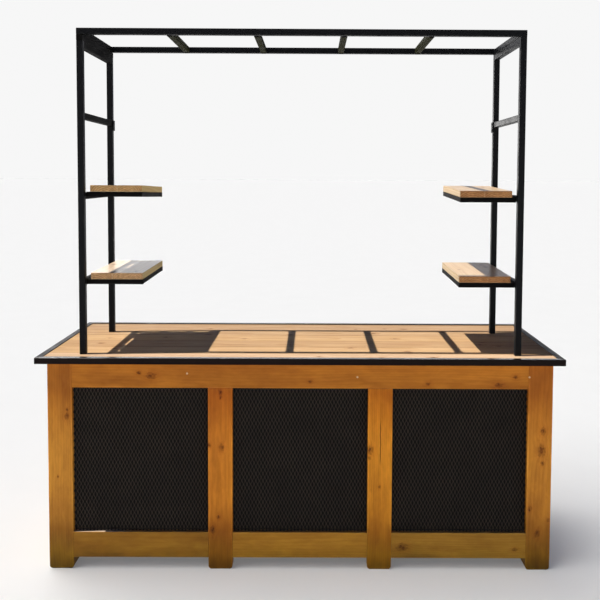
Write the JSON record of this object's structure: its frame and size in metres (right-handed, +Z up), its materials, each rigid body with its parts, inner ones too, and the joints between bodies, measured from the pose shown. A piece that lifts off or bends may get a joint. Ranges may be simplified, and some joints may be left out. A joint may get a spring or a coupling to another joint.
{
  "type": "market stall",
  "caption": "Free-standing market stall: stained timber base with dark mesh panels, steel-edged board counter, slim steel end frames with small shelves and an open roof frame",
  "frame": {"origin": "middle of the footprint, on the floor", "axes": "X along the counter to the right seen from the customer's side, Y from the customer's side to the back, Z up"},
  "size_m": [2.076, 0.72, 2.153],
  "materials": {
    "timber": "honey stain, satin",
    "boards": "clear oil, satin",
    "mesh_panel": "matt black",
    "black_steel": "satin black"
  },
  "bodies": {
    "root": {"front_left_leg": "timber", "front_right_leg": "timber", "back_left_leg": "timber", "back_right_leg": "timber", "front_mid_legs": "timber", "back_mid_legs": "timber", "front_top_rail": "timber", "back_top_rail": "timber", "left_top_rail": "timber", "right_top_rail": "timber", "front_bottom_rails": "timber", "back_bottom_rails": "timber", "left_bottom_rail": "timber", "right_bottom_rail": "timber", "front_left_panel": "mesh_panel", "front_centre_panel": "mesh_panel", "front_right_panel": "mesh_panel", "back_panels": "mesh_panel", "left_panel": "mesh_panel", "right_panel": "mesh_panel", "counter_boards": "boards", "front_edge_angle": "black_steel", "back_edge_angle": "black_steel", "left_edge_angle": "black_steel", "right_edge_angle": "black_steel", "front_left_post": "black_steel", "front_right_post": "black_steel", "back_left_post": "black_steel", "back_right_post": "black_steel", "left_rungs": "black_steel", "right_rungs": "black_steel", "back_post_clips": "black_steel", "roof_front_rail": "black_steel", "roof_back_rail": "black_steel", "roof_cross_bars": "black_steel", "left_roof_spacer": "black_steel", "left_low_shelf_board": "boards", "left_high_shelf_board": "boards", "right_low_shelf_board": "boards", "right_high_shelf_board": "boards", "left_shelf_bars": "black_steel", "right_shelf_bars": "black_steel", "left_shelf_ties": "black_steel", "right_shelf_ties": "black_steel", "shelf_tabs": "black_steel"}
  },
  "joints": []
}
